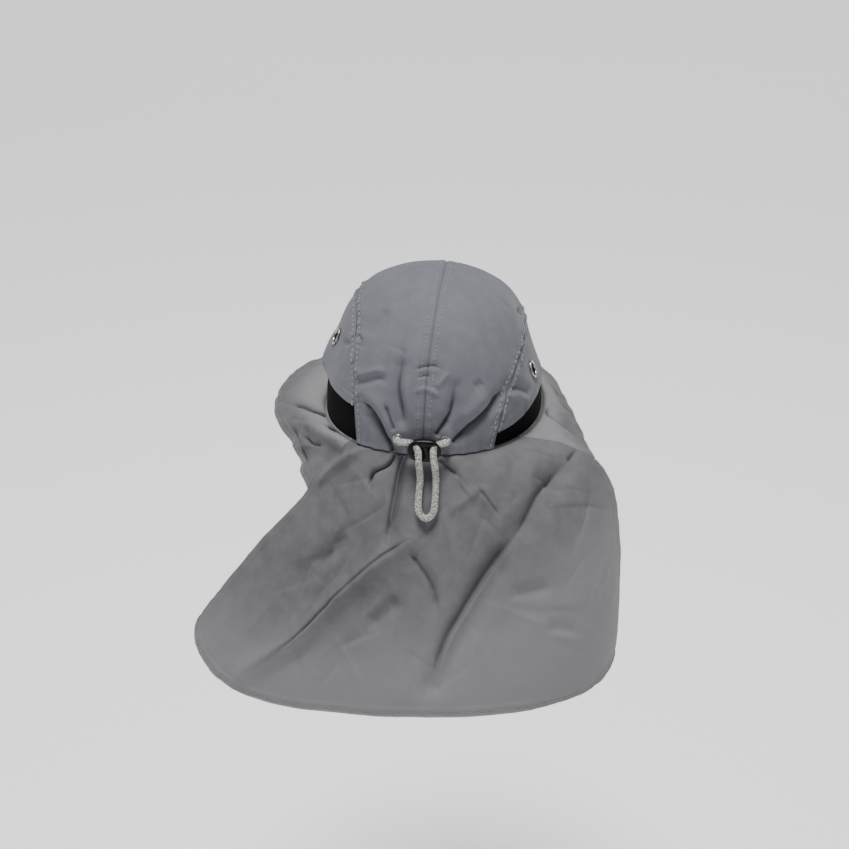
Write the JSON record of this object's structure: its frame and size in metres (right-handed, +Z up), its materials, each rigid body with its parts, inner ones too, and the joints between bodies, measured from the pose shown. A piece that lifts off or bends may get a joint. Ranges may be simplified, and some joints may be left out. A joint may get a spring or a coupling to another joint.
{
  "type": "legionnaire cap",
  "caption": "Soft cloth sun cap with a panelled crown, side vents, a drooping brim, a long flaring neck flap and a draw cord with a lock at the back.",
  "frame": {"origin": "centre of the head opening, in the plane of the crown's base seam, where the cap sits on a head", "axes": "+Z up through the crown, -Y to the brim at the front, +X to the wearer's left"},
  "size_m": [0.3287, 0.3502, 0.29],
  "materials": {
    "cloth": "soft grey-blue woven cotton",
    "vent_mesh": "black open mesh cloth",
    "eyelet_metal": "dulled nickel",
    "cord": "braided pale grey cord",
    "lock_plastic": "black moulded plastic"
  },
  "bodies": {
    "root": {"crown_panel_left": "cloth", "crown_panel_right": "cloth", "side_panel_left": "cloth", "side_panel_right": "cloth", "vent_mesh_left": "vent_mesh", "vent_mesh_right": "vent_mesh", "vent_eyelet_left": "eyelet_metal", "vent_eyelet_right": "eyelet_metal", "cord_eyelet_left": "eyelet_metal", "cord_eyelet_right": "eyelet_metal", "brim": "cloth", "neck_flap": "cloth", "draw_cord": "cord", "cord_lock": "lock_plastic"}
  },
  "joints": []
}
